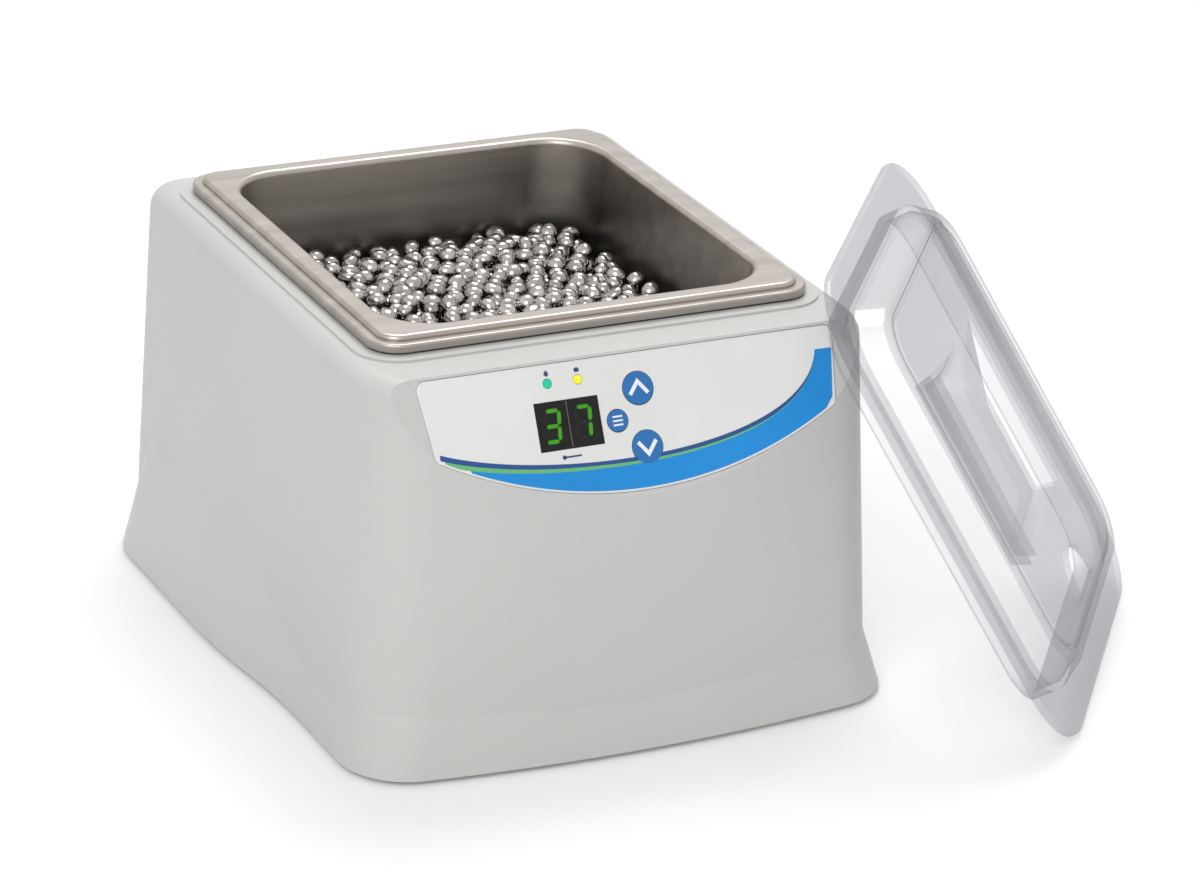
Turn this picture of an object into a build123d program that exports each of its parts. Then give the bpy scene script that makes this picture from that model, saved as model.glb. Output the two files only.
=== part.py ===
from build123d import *
import os
from math import cos, radians, sin, tan

# Bead bath: a warm well of metal beads for tubes and bottles on a laboratory bench.
# Millimetres. The origin is on the bench, under the middle of the casing's footprint, which is
# also the middle of the four feet. +Z is up, the control panel faces -Y, the power inlet +Y.

os.makedirs("parts", exist_ok=True)

# Fits
slip = 0.3            # gap between pieces that lie beside each other and don't move
seat = 0.2            # gap under a soft or loose piece that lies on another one
run = 0.25            # gap round a key in its hole

# Casing, a moulded shell
casing_depth = 239.0  # foremost point of the skirt to the flat rear
wall = 3.0
rim_z = 2.0           # lower edge of the skirt above the bench
ledge_z = 135.2       # top ledge above the bench
foot_half_width = 97.5   # half width of the body at the bench
ledge_half_width = 92.0  # half width of the body at the ledge
foot_front = -115.9   # foremost point of the body at the bench
ledge_front = -110.5  # foremost point of the body at the ledge, before the panel is cut
foot_bow = 8.3        # how far the front curves back to its corners at the bench
ledge_bow = 16.6      # the same at the ledge
front_corner_r = 26.0
rear_corner_r = 14.0
shoulder_r = 8.0      # rounding of the ledge's outer edge
platform_h = 0.8      # raised step that the pan's flange lies on
platform_margin = 4.5

# Skirt, the flared foot of the casing
skirt_slope = 14.5    # degrees from vertical
skirt_rear_half = 107.3
skirt_front_half = 100.7
skirt_bow = 8.3
skirt_corner_r = 24.0
skirt_rear_corner_r = 29.0
skirt_narrow_end = -68.0  # the side is narrow in front of this
skirt_wide_start = 36.0   # and wide behind this
skirt_top_z = 50.0        # here the flare has run into the body
skirt_rear_inset = 0.5
skirt_edge_r = 1.2

# Bath pan, a steel gastronorm 1/6 container
pan_y = 16.5          # middle of the pan behind the middle of the casing
flange_x = 162.0
flange_y = 176.0
flange_r = 11.0
rim_w = 11.0          # outer edge of the flange to the mouth
pan_depth = 100.0
pan_t = 1.2
pan_draft = 7.0       # how much each wall leans in from mouth to floor
mouth_r = 20.0
mouth_edge_r = 2.0
floor_r = 10.0
pan_wall_gap = 4.0    # pan's wall to the edge of the hole in the ledge
lip_h = 4.6           # turned-down edge of the flange
lip_step = 1.8        # the outer band of the flange lies this much lower
lip_band = 3.4
gasket_t = 0.8
gasket_inset = 0.6

# Control panel: a flat facet that leans back, cut across the bowed front
panel_tilt = 27.5     # degrees from vertical
panel_edge_y = -89.8  # its upper edge on the ledge's level
recess_depth = 0.8
overlay_t = 0.6
label_top = 1.2       # upper edge of the label below the facet's upper edge
label_half = 76.5     # half width at its upper edge
label_low_half = 73.4
label_side = 26.5     # length of its straight sides
label_bottom = 45.5   # upper edge to the lowest point of its curved lower edge
label_corner_r = 3.0
label_gap = 0.25

# What shows in the panel, as (x, distance below the facet's upper edge)
window_x, window_s = -24.6, 21.6
window_w, window_h = 23.2, 16.3
led_x = (-30.0, -19.0)
led_s = 7.5
led_r = 1.5
arrow_x, arrow_up_s, arrow_down_s = 2.0, 13.2, 32.8
arrow_r = 5.5
mode_x, mode_s, mode_r = -7.2, 22.9, 3.7
key_travel = 0.6
key_proud = 0.2

digit_h, digit_w = 11.5, 6.2
segment_w = 1.3
digit_pitch = 11.2
digit_slant = 6.0     # degrees
segment_gap = 0.25
segment_t = 0.15
point_r = 0.6
digits_shown = ("abcdg", "abc")   # lit segments of each digit
# each segment's ends, in half widths and half heights of the digit
segment_ends = {
    "a": ((-1, 1), (1, 1)),
    "b": ((1, 1), (1, 0)),
    "c": ((1, 0), (1, -1)),
    "d": ((1, -1), (-1, -1)),
    "e": ((-1, -1), (-1, 0)),
    "f": ((-1, 0), (-1, 1)),
    "g": ((-1, 0), (1, 0)),
}

# Electronics
board_t = 1.6
board_depth = 12.0    # the control board's face below the facet
board_left, board_right = -45.0, 21.0
board_top_s, board_bottom_s = 3.5, 41.5
standoff_r = 3.0
board_screw_r = 1.05
board_screw_l = 6.0
switch_size, switch_h = 6.0, 4.0
stem_r = 1.6
stem_entry = 0.9      # the key's stem reaches this far into its switch
stem_hole = 2.0
key_flange = 1.4      # collar that keeps a key from falling out
key_flange_t = 1.0
led_collar = 0.4
power_z = 11.0        # underside of the power board
power_w, power_d = 104.0, 34.0
power_y = -84.0
spacer_r = 3.0
core_w, core_h, core_t = 42.0, 35.0, 15.0
core_limb = 7.0
coil_t = 6.0          # winding outside the core's middle limb, front and back
core_x = -26.0
sink_w, sink_h, sink_t = 28.0, 26.0, 2.0
sink_fins, sink_fin_l = 5, 8.0
sink_x = 14.0
triac_w, triac_h, triac_t = 10.0, 15.0, 4.5
triac_lead_w, triac_pitch = 0.8, 2.54
triac_rise = 8.0
terminal_count, terminal_pitch = 3, 5.08
terminal_h, terminal_d = 10.0, 8.0
terminal_x, terminal_y = 38.0, -86.0
capacitor_r, capacitor_h = 5.0, 12.5
capacitor_places = ((4.0, -94.0), (24.0, -94.0))

# Base plate and feet
plate_t = 2.0
plate_z = 3.0         # underside of the base plate
plate_gap = 0.5
foot_r = 9.0
foot_x, foot_y = 74.0, 92.0
foot_stem_r = 3.0
boss_r = 4.5
boss_x = 83.0
boss_ys = (-58.0, 104.0)
screw_r = 1.9
screw_head_r, screw_head_h = 3.6, 1.8
screw_length = 14.0
screw_gap = 0.05
foot_barb_r, foot_barb_h = 3.9, 2.4
vent_y = 70.0
vent_pitch, vent_count = 9.0, 7
vent_l, vent_w = 26.0, 3.0

# Heater stack under the pan
spreader_t = 2.0
heater_t = 1.5
pad_t = 9.0
jacket_t = 5.0
heater_margin = 3.0
probe_r, probe_l = 2.0, 14.0
probe_x = 18.0
cradle_t = 2.0
cradle_w, cradle_l, cradle_foot = 76.0, 96.0, 10.0

# Beads
bead_level = 112.0    # rim of the heap at the walls
bead_heap = 4.0       # height of the heap's middle over its rim
bead_flat_inset = 34.0   # flange's edge to the heap's flat middle

# Power inlet with its fuse drawer, and the power switch, at the rear
inlet_x, inlet_z = -38.0, 34.0
inlet_w, inlet_h, flange_t = 31.0, 39.0, 2.5
flange_lap = 2.0      # flange past its hole in the casing
socket_w, socket_h, socket_depth = 24.5, 16.5, 15.0
socket_rise = 7.5     # middle of the socket above the middle of the inlet
drawer_w, drawer_h, drawer_depth = 23.0, 8.0, 13.0
drawer_drop = 11.5    # middle of the fuse drawer below the middle of the inlet
drawer_travel = 12.0
inlet_depth = 18.0    # body behind the face of the rear wall
blade_w, blade_t = 4.0, 2.0
blade_spacing, blade_offset = 14.0, 2.0
blade_reach = 12.0    # free length in the socket
tab_l = 8.0           # length behind the body
socket_chamfer = 4.5
fuse_r, fuse_l = 2.5, 20.0
drawer_lip = 0.8
switch_x, switch_z = 32.0, 34.0
frame_w, frame_h, frame_t = 15.0, 21.0, 2.0
frame_lap = 1.0
frame_depth = 14.0
rocker_w, rocker_h = 10.0, 15.0   # the frame's opening
rocker_tilt = 9.0     # degrees to each side of the middle
pivot_depth = 3.0     # below the frame's face
pivot_r, pivot_gap = 1.05, 0.05
rocker_corner = 35.0  # angle from the pivot to the corners of its outer face
rocker_foot = 25.0    # and to the corners of its inner face
rocker_valley = 3.2   # from the pivot to the dip in its outer face
rocker_room = 5.5     # from the pivot to the floor of the frame

# Lid, a clear moulded cover that leans on the casing
lid_long = 182.0
lid_short = 166.0
lid_r = 28.0
lid_t = 2.4
lid_edge_r = 1.0
locating_h = 7.9      # rim under the lid that drops into the pan's mouth
locating_gap = 1.0
dome_h = 9.0          # raised middle over the border
dome_slope = 30.0     # degrees from vertical
dome_edge_r = 2.5
groove_inset, groove_w, groove_depth = 4.0, 1.6, 0.8
well_depth = 7.5
well_draft = 2.0
# corners of the hand well in the raised middle, from the lid's lower left corner
well_mouth = ((46.0, 57.0), (109.0, 59.0), (110.0, 128.0), (48.0, 129.0))
well_ramp = 28.0      # how far the ramp at its upper end runs down the right side
notch_w, notch_l = 28.0, 15.0
notch_start = 28.0    # lid's lower edge to the notch
lid_x, lid_y = 129.0, -177.3   # lower corner of the lid nearest the viewer, on the bench
lid_heading = 51.75   # direction of its lower edge, from +X
lid_lean = 58.0       # its slope from the bench

# What follows from the sizes above
rear_y = casing_depth / 2
skirt_front = -casing_depth / 2
flare = tan(radians(skirt_slope))
plate_top = plate_z + plate_t
ledge_top = ledge_z + platform_h
lip_z = ledge_top + gasket_t
pan_top = lip_z + lip_h
pan_floor = pan_top - pan_depth
hole_inset = rim_w - pan_t - pan_wall_gap
floor_inset = rim_w + pan_draft + floor_r
spreader_z = pan_floor - pan_t - spreader_t
heater_z = spreader_z - heater_t
pad_z = heater_z - seat - pad_t
cradle_h = pad_z - seat - plate_top
jacket_top = ledge_z - wall - 2 * slip
jacket_z = pan_floor + floor_r
display_face = recess_depth + slip
key_face = recess_depth - overlay_t - key_proud
collar_depth = wall + seat + key_flange_t
switch_face = board_depth - switch_h
fuse_y = rear_y + flange_t - drawer_depth / 2
fuse_z = inlet_z - drawer_drop
pivot_y = rear_y + frame_t - pivot_depth
dome_top = lid_t + dome_h
dome_w = flange_x - 2 * rim_w - 2 * locating_gap
dome_corner_r = mouth_r - locating_gap
dome_l = flange_y - 2 * rim_w - 2 * locating_gap
top_w = dome_w - 2 * dome_h * tan(radians(dome_slope))
top_l = dome_l - 2 * dome_h * tan(radians(dome_slope))
well_floor = dome_top - well_depth
inlet_body_w, inlet_body_h = inlet_w - 2 * flange_lap, inlet_h - 2 * flange_lap
frame_body_w, frame_body_h = frame_w - 2 * frame_lap, frame_h - 2 * frame_lap


def body_plan(z, shrink=0.0):
    """Plan of the casing's body at height z, moved in by shrink: flat rear, bowed front."""
    share = z / ledge_z
    half = foot_half_width + (ledge_half_width - foot_half_width) * share - shrink
    front = foot_front + (ledge_front - foot_front) * share + shrink
    bow = foot_bow + (ledge_bow - foot_bow) * share
    rear = rear_y - shrink
    with BuildSketch(Plane.XY.offset(z)) as plan:
        with BuildLine():
            ThreePointArc((-half, front + bow), (0, front), (half, front + bow))
            Polyline((half, front + bow), (half, rear), (-half, rear), (-half, front + bow))
        make_face()
        corners = plan.vertices().sort_by(Axis.Y)
        fillet(corners[:2], front_corner_r - shrink)
        fillet(plan.vertices().sort_by(Axis.Y)[-2:], rear_corner_r - shrink)
    return plan.sketch


def skirt_plan(z, shrink=0.0):
    """Plan of the flared skirt at height z, moved in by shrink: wide behind, narrow in front."""
    inset = shrink + flare * (z - rim_z)
    wide, narrow = skirt_rear_half - inset, skirt_front_half - inset
    front = skirt_front + inset
    corner_y = front + skirt_bow
    rear = rear_y - skirt_rear_inset - shrink
    middle = (skirt_narrow_end + skirt_wide_start) / 2
    with BuildSketch(Plane.XY.offset(z)) as plan:
        with BuildLine():
            ThreePointArc((-narrow, corner_y), (0, front), (narrow, corner_y))
            for side in (1, -1):
                Line((side * narrow, corner_y), (side * narrow, skirt_narrow_end))
                Bezier(
                    (side * narrow, skirt_narrow_end),
                    (side * narrow, middle),
                    (side * wide, middle),
                    (side * wide, skirt_wide_start),
                )
                Line((side * wide, skirt_wide_start), (side * wide, rear))
            Line((-wide, rear), (wide, rear))
        make_face()
        fillet(plan.vertices().sort_by(Axis.Y)[:2], skirt_corner_r - shrink)
        fillet(plan.vertices().sort_by(Axis.Y)[-2:], skirt_rear_corner_r - shrink)
    return plan.sketch


panel_plane = Plane(
    origin=(0, panel_edge_y, ledge_z),
    x_dir=(1, 0, 0),
    z_dir=(0, -cos(radians(panel_tilt)), sin(radians(panel_tilt))),
)


def on_panel(x, s, depth=0.0):
    """Plane parallel to the facet at x, distance s below its upper edge and depth under its face."""
    at = panel_plane.from_local_coords(Vector(x, -s, -depth))
    return Plane(origin=at, x_dir=panel_plane.x_dir, z_dir=panel_plane.z_dir)


def on_rear(x, z, out=0.0):
    """Plane parallel to the rear wall, facing out, at x and z and moved out from its face."""
    return Plane(origin=(x, rear_y + out, z), x_dir=(-1, 0, 0), z_dir=(0, 1, 0))


inlet_plane = on_rear(inlet_x, inlet_z)
switch_plane = on_rear(switch_x, switch_z)


def label_plan(depth, grow=0.0):
    """Outline of the label: straight upper edge, short slanting sides and a smiling lower edge."""
    top, low = label_half + grow, label_low_half + grow
    with BuildSketch(on_panel(0, label_top, depth)) as plan:
        with BuildLine():
            Polyline((-low, -label_side), (-top, grow), (top, grow), (low, -label_side))
            ThreePointArc((low, -label_side), (0, -label_bottom - grow), (-low, -label_side))
        make_face()
        fillet(plan.vertices(), label_corner_r + grow)
    return plan.sketch


def bath_plan(z, inset, radius):
    """Rounded rectangle at height z, concentric with the pan's flange and inset from it."""
    with BuildSketch(Plane.XY.offset(z)) as plan:
        with Locations((0, pan_y)):
            RectangleRounded(flange_x - 2 * inset, flange_y - 2 * inset, radius)
    return plan.sketch


def bowl_plan(z, grow=0.0):
    """Inside of the pan at height z, moved out by grow: the walls lean in towards the floor."""
    inset = rim_w + pan_draft * (pan_top - z) / pan_depth
    return bath_plan(z, inset - grow, mouth_r + grow)


def jacket_plan(z, grow=0.0):
    """Inside of the insulation jacket at height z, moved out by grow."""
    return bowl_plan(z, pan_t + slip + grow)


def segment_outline(start, end):
    """Bar with pointed ends between two corners of a digit, slanted as the digits are."""
    half_w, half_h = (digit_w - segment_w) / 2, (digit_h - segment_w) / 2
    first = Vector(start[0] * half_w, start[1] * half_h)
    last = Vector(end[0] * half_w, end[1] * half_h)
    along = (last - first).normalized()
    across = Vector(-along.Y, along.X) * segment_w / 2
    tip = along * segment_gap
    shoulder = along * (segment_gap + segment_w / 2)
    outline = (
        first + tip,
        first + shoulder + across,
        last - shoulder + across,
        last - tip,
        last - shoulder - across,
        first + shoulder - across,
    )
    return [(point.X + point.Y * tan(radians(digit_slant)), point.Y) for point in outline]


keys = {
    "key_up": (arrow_x, arrow_up_s, arrow_r),
    "key_mode": (mode_x, mode_s, mode_r),
    "key_down": (arrow_x, arrow_down_s, arrow_r),
}
standoffs = [
    (x, s)
    for x in (board_left + standoff_r + 1, board_right - standoff_r - 1)
    for s in (board_top_s + standoff_r + 1, board_bottom_s - standoff_r - 1)
]
boss_places = [(x, y) for x in (-boss_x, boss_x) for y in boss_ys]
foot_names = ("foot_front_left", "foot_front_right", "foot_rear_left", "foot_rear_right")
foot_places = [(x, y) for y in (-foot_y, foot_y) for x in (-foot_x, foot_x)]

# The inside of the casing, as one solid to take away
with BuildPart() as cavity:
    loft([body_plan(rim_z - 1, wall), body_plan(ledge_z - wall, wall)], ruled=True)
    loft([skirt_plan(rim_z - 1, wall), skirt_plan(skirt_top_z - wall, wall)], ruled=True)
    with BuildSketch(on_panel(0, 0, wall)) as facet_inside:
        Rectangle(3 * foot_half_width, casing_depth)
    extrude(amount=casing_depth, mode=Mode.SUBTRACT)

with BuildPart() as housing:
    loft([body_plan(rim_z), body_plan(ledge_z)], ruled=True)
    fillet(housing.faces().sort_by(Axis.Z)[-1].edges(), shoulder_r)
    loft([skirt_plan(rim_z), skirt_plan(skirt_top_z)], ruled=True)
    with BuildSketch(on_panel(0, 0)) as facet:
        Rectangle(3 * foot_half_width, casing_depth)
    extrude(amount=casing_depth, mode=Mode.SUBTRACT)
    add(cavity.part, mode=Mode.SUBTRACT)
    # step round the pan's flange, and the hole that the pan hangs in
    extrude(bath_plan(ledge_z - wall / 2, -platform_margin, flange_r + platform_margin), platform_h + wall / 2)
    extrude(bath_plan(ledge_z - 2 * wall, hole_inset, mouth_r), 3 * wall, mode=Mode.SUBTRACT)
    # bosses for the base screws and standoffs for the control board
    with BuildSketch(Plane.XY.offset(plate_top + seat)) as boss_plan:
        with Locations(*boss_places):
            Circle(boss_r)
    extrude(until=Until.NEXT)
    with BuildSketch(on_panel(0, 0, board_depth)) as standoff_plan:
        with Locations(*[(x, -s) for x, s in standoffs]):
            Circle(standoff_r)
    extrude(amount=board_depth - wall / 2)
    # recess for the label, and what passes through the facet
    extrude(label_plan(recess_depth, label_gap), 2 * recess_depth, mode=Mode.SUBTRACT)
    with BuildSketch(on_panel(0, 0)) as facet_holes:
        with Locations((window_x, -window_s)):
            Rectangle(window_w + 2 * slip, window_h + 2 * slip)
        with Locations(*[(x, -led_s) for x in led_x]):
            Circle(led_r + slip)
        for x, s, r in keys.values():
            with Locations((x, -s)):
                Circle(r + run)
    extrude(amount=-wall - slip, mode=Mode.SUBTRACT)
    with BuildSketch(on_panel(0, 0, board_depth)) as standoff_holes:
        with Locations(*[(x, -s) for x, s in standoffs]):
            Circle(board_screw_r + screw_gap)
    extrude(amount=board_screw_l, mode=Mode.SUBTRACT)
    with BuildSketch(Plane.XY.offset(plate_top)) as pilot_holes:
        with Locations(*boss_places):
            Circle(screw_r + screw_gap)
    extrude(amount=screw_length, mode=Mode.SUBTRACT)
    # rear cut-outs for the inlet and the switch
    for place, w, h in ((inlet_plane, inlet_body_w, inlet_body_h), (switch_plane, frame_body_w, frame_body_h)):
        with BuildSketch(place) as rear_hole:
            Rectangle(w + 2 * slip, h + 2 * slip)
        extrude(amount=-wall - skirt_rear_inset - slip, mode=Mode.SUBTRACT)
housing.part.label = "housing"
export_step(housing.part, "parts/housing.step")

with BuildPart() as base_plate:
    extrude(skirt_plan(plate_top, wall + plate_gap), -plate_t)
    with BuildSketch(Plane.XY.offset(plate_z)) as plate_holes:
        with Locations(*foot_places):
            Circle(foot_stem_r + slip)
        with Locations(*boss_places):
            Circle(screw_r + slip)
        with Locations((0, vent_y)):
            with GridLocations(vent_pitch, 0, vent_count, 1):
                SlotOverall(vent_l, vent_w, rotation=90)
    extrude(amount=plate_t, mode=Mode.SUBTRACT)
base_plate.part.label = "base_plate"
export_step(base_plate.part, "parts/base_plate.step")

with BuildPart() as base_screws:
    with BuildSketch(Plane.XY.offset(plate_z)) as screw_heads:
        with Locations(*boss_places):
            Circle(screw_head_r)
    extrude(amount=-screw_head_h)
    fillet(base_screws.faces().group_by(Axis.Z)[0].edges(), screw_head_h / 3)
    with BuildSketch(Plane.XY.offset(plate_z)) as screw_shanks:
        with Locations(*boss_places):
            Circle(screw_r)
    extrude(amount=screw_length)
base_screws.part.label = "base_screws"
export_step(base_screws.part, "parts/base_screws.step")

for name, (x, y) in zip(foot_names, foot_places):
    with BuildPart() as foot:
        with BuildSketch() as pad_plan:
            with Locations((x, y)):
                Circle(foot_r)
        extrude(amount=plate_z)
        with BuildSketch() as stem_plan:
            with Locations((x, y)):
                Circle(foot_stem_r)
        extrude(amount=plate_top + seat)
        with BuildSketch(Plane.XY.offset(plate_top + seat)) as barb_plan:
            with Locations((x, y)):
                Circle(foot_barb_r)
        extrude(amount=foot_barb_h, taper=15)
    foot.part.label = name
    export_step(foot.part, f"parts/{name}.step")

# The bath pan and what lies against it
with BuildPart() as pan_inside:
    loft([bowl_plan(pan_floor), bowl_plan(pan_top)], ruled=True)
    fillet(pan_inside.faces().sort_by(Axis.Z)[0].edges(), floor_r)
    extrude(bowl_plan(pan_top), lip_h)

with BuildPart() as bath_pan:
    extrude(bath_plan(lip_z, 0, flange_r), lip_h - lip_step)
    fillet(bath_pan.faces().sort_by(Axis.Z)[-1].edges(), lip_step / 2)
    extrude(bath_plan(lip_z, lip_band, flange_r - lip_band), lip_h)
    fillet(bath_pan.faces().sort_by(Axis.Z)[-1].edges(), lip_step * 0.9)
    extrude(bath_plan(lip_z, pan_t, flange_r - pan_t), lip_h - lip_step - pan_t, mode=Mode.SUBTRACT)
    extrude(bath_plan(lip_z, lip_band + pan_t, flange_r - lip_band - pan_t), lip_h - pan_t, mode=Mode.SUBTRACT)
    loft([bowl_plan(pan_floor - pan_t, pan_t), bowl_plan(pan_top - pan_t / 2, pan_t)], ruled=True)
    fillet(bath_pan.faces().sort_by(Axis.Z)[0].edges(), floor_r + pan_t)
    add(pan_inside.part, mode=Mode.SUBTRACT)
    fillet(bath_pan.faces().sort_by(Axis.Z)[-1].inner_wires()[0].edges(), mouth_edge_r)
bath_pan.part.label = "bath_pan"
export_step(bath_pan.part, "parts/bath_pan.step")

with BuildPart() as pan_gasket:
    extrude(bath_plan(ledge_top, gasket_inset, flange_r - gasket_inset), gasket_t)
    extrude(bath_plan(ledge_top, hole_inset - slip, mouth_r), gasket_t, mode=Mode.SUBTRACT)
pan_gasket.part.label = "pan_gasket"
export_step(pan_gasket.part, "parts/pan_gasket.step")

with BuildPart() as heat_spreader:
    extrude(bath_plan(spreader_z, floor_inset, floor_r), spreader_t)
heat_spreader.part.label = "heat_spreader"
export_step(heat_spreader.part, "parts/heat_spreader.step")

with BuildPart() as heater_mat:
    extrude(bath_plan(heater_z, floor_inset + heater_margin, floor_r - heater_margin), heater_t)
heater_mat.part.label = "heater_mat"
export_step(heater_mat.part, "parts/heater_mat.step")

with BuildPart() as insulation_pad:
    extrude(bath_plan(pad_z, floor_inset, floor_r), pad_t)
    with BuildSketch(Plane.XY.offset(pad_z + pad_t)) as probe_slots:
        with Locations((-probe_x, pan_y), (probe_x, pan_y)):
            Rectangle(2 * (probe_r + slip), probe_l + 2 * slip)
    extrude(amount=-2 * (probe_r + slip), mode=Mode.SUBTRACT)
insulation_pad.part.label = "insulation_pad"
export_step(insulation_pad.part, "parts/insulation_pad.step")

for name, x in (("thermal_fuse", -probe_x), ("temperature_sensor", probe_x)):
    with BuildPart() as probe:
        with BuildSketch(Plane.XZ.offset(-pan_y - probe_l / 2)) as probe_plan:
            with Locations((x, heater_z - seat - probe_r)):
                Circle(probe_r)
        extrude(amount=probe_l)
        fillet(probe.edges(), probe_r / 2)
    probe.part.label = name
    export_step(probe.part, f"parts/{name}.step")

with BuildPart() as insulation_jacket:
    loft([jacket_plan(jacket_z, jacket_t), jacket_plan(jacket_top, jacket_t)], ruled=True)
    loft([jacket_plan(jacket_z), jacket_plan(jacket_top)], ruled=True, mode=Mode.SUBTRACT)
insulation_jacket.part.label = "insulation_jacket"
export_step(insulation_jacket.part, "parts/insulation_jacket.step")

with BuildPart() as pan_cradle:
    with BuildSketch(Plane.XZ.offset(-pan_y - cradle_l / 2)) as cradle_profile:
        with Locations((0, plate_top)):
            Rectangle(cradle_w + 2 * cradle_foot, cradle_t, align=(Align.CENTER, Align.MIN))
            Rectangle(cradle_w, cradle_h, align=(Align.CENTER, Align.MIN))
            Rectangle(
                cradle_w - 2 * cradle_t,
                cradle_h - cradle_t,
                align=(Align.CENTER, Align.MIN),
                mode=Mode.SUBTRACT,
            )
    extrude(amount=cradle_l)
pan_cradle.part.label = "pan_cradle"
export_step(pan_cradle.part, "parts/pan_cradle.step")

with BuildPart() as bead_bed:
    loft([bowl_plan(pan_floor + slip, -slip), bowl_plan(bead_level, -slip)], ruled=True)
    fillet(bead_bed.faces().sort_by(Axis.Z)[0].edges(), floor_r)
    loft(
        [bowl_plan(bead_level, -slip), bath_plan(bead_level + bead_heap, bead_flat_inset, mouth_r)],
        ruled=True,
    )
bead_bed.part.label = "bead_bed"
export_step(bead_bed.part, "parts/bead_bed.step")

# Control panel
with BuildPart() as control_overlay:
    extrude(label_plan(recess_depth), overlay_t)
    with BuildSketch(on_panel(0, 0, recess_depth)) as overlay_holes:
        with Locations((window_x, -window_s)):
            Rectangle(window_w, window_h)
        with Locations(*[(x, -led_s) for x in led_x]):
            Circle(led_r + seat)
        for x, s, r in keys.values():
            with Locations((x, -s)):
                Circle(r + run)
    extrude(amount=overlay_t, mode=Mode.SUBTRACT)
control_overlay.part.label = "control_overlay"
export_step(control_overlay.part, "parts/control_overlay.step")

with BuildPart() as display_window:
    with BuildSketch(on_panel(window_x, window_s, recess_depth)):
        Rectangle(window_w, window_h)
    extrude(amount=overlay_t)
display_window.part.label = "display_window"
export_step(display_window.part, "parts/display_window.step")

with BuildPart() as display_module:
    with BuildSketch(on_panel(window_x, window_s, board_depth)):
        Rectangle(window_w, window_h)
    extrude(amount=board_depth - display_face)
display_module.part.label = "display_module"
export_step(display_module.part, "parts/display_module.step")

for name, lit in (("display_digits_lit", True), ("display_digits_unlit", False)):
    with BuildPart() as digits:
        with BuildSketch(on_panel(window_x, window_s, display_face)) as segments:
            for i, on in enumerate(digits_shown):
                with Locations(((i - 0.5) * digit_pitch, 0)):
                    for letter, (start, end) in segment_ends.items():
                        if (letter in on) == lit:
                            Polygon(*segment_outline(start, end), align=None)
                    if not lit:
                        with Locations((digit_w / 2 + point_r, -digit_h / 2 + point_r)):
                            Circle(point_r)
        extrude(amount=segment_t)
    digits.part.label = name
    export_step(digits.part, f"parts/{name}.step")

for name, (x, s, r) in keys.items():
    with BuildPart() as key:
        with BuildSketch(on_panel(x, s, collar_depth)):
            Circle(r)
        extrude(amount=collar_depth - key_face)
        fillet(key.faces().sort_by(Axis(panel_plane.origin, panel_plane.z_dir))[-1].edges(), key_proud)
        with BuildSketch(on_panel(x, s, collar_depth)):
            Circle(r + key_flange)
        extrude(amount=key_flange_t)
        with BuildSketch(on_panel(x, s, switch_face + stem_entry)):
            Circle(stem_r)
        extrude(amount=switch_face + stem_entry - collar_depth)
    key.part.label = name
    export_step(key.part, f"parts/{name}.step")

for name, x in zip(("indicator_water", "indicator_beads"), led_x):
    with BuildPart() as indicator:
        with BuildSketch(on_panel(x, led_s, board_depth)):
            Circle(led_r)
        extrude(amount=board_depth - recess_depth + overlay_t)
        with BuildSketch(on_panel(x, led_s, board_depth)):
            Circle(led_r + led_collar)
        extrude(amount=led_collar * 2)
    indicator.part.label = name
    export_step(indicator.part, f"parts/{name}.step")

with BuildPart() as control_board:
    with BuildSketch(on_panel(0, 0, board_depth)):
        with Locations(((board_left + board_right) / 2, -(board_top_s + board_bottom_s) / 2)):
            Rectangle(board_right - board_left, board_bottom_s - board_top_s)
        with Locations(*[(x, -s) for x, s in standoffs]):
            Circle(board_screw_r + slip, mode=Mode.SUBTRACT)
    extrude(amount=-board_t)
control_board.part.label = "control_board"
export_step(control_board.part, "parts/control_board.step")

with BuildPart() as tact_switches:
    for x, s, r in keys.values():
        with BuildSketch(on_panel(x, s, board_depth)):
            RectangleRounded(switch_size, switch_size, 0.5)
        extrude(amount=switch_h)
        with BuildSketch(on_panel(x, s, switch_face)):
            Circle(stem_r + run)
        extrude(amount=-stem_hole, mode=Mode.SUBTRACT)
tact_switches.part.label = "tact_switches"
export_step(tact_switches.part, "parts/tact_switches.step")

with BuildPart() as control_board_screws:
    for x, s in standoffs:
        with BuildSketch(on_panel(x, s, board_depth + board_t)):
            Circle(2 * board_screw_r)
        extrude(amount=-board_screw_r)
        with BuildSketch(on_panel(x, s, board_depth + board_t)):
            Circle(board_screw_r)
        extrude(amount=board_screw_l)
control_board_screws.part.label = "control_board_screws"
export_step(control_board_screws.part, "parts/control_board_screws.step")

# Power board on the base plate
power_corners = [
    (x, y)
    for x in (-power_w / 2 + 2 * spacer_r, power_w / 2 - 2 * spacer_r)
    for y in (power_y - power_d / 2 + 2 * spacer_r, power_y + power_d / 2 - 2 * spacer_r)
]
power_top = power_z + board_t

with BuildPart() as power_board:
    with BuildSketch(Plane.XY.offset(power_z)):
        with Locations((0, power_y)):
            RectangleRounded(power_w, power_d, 2)
        with Locations(*power_corners):
            Circle(board_screw_r + slip, mode=Mode.SUBTRACT)
    extrude(amount=board_t)
power_board.part.label = "power_board"
export_step(power_board.part, "parts/power_board.step")

with BuildPart() as power_board_spacers:
    with BuildSketch(Plane.XY.offset(plate_top)):
        with Locations(*power_corners):
            Circle(spacer_r)
    extrude(amount=power_z - plate_top)
    with BuildSketch(Plane.XY.offset(power_z)):
        with Locations(*power_corners):
            Circle(board_screw_r)
    extrude(amount=board_t + board_screw_r)
power_board_spacers.part.label = "power_board_spacers"
export_step(power_board_spacers.part, "parts/power_board_spacers.step")

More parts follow.
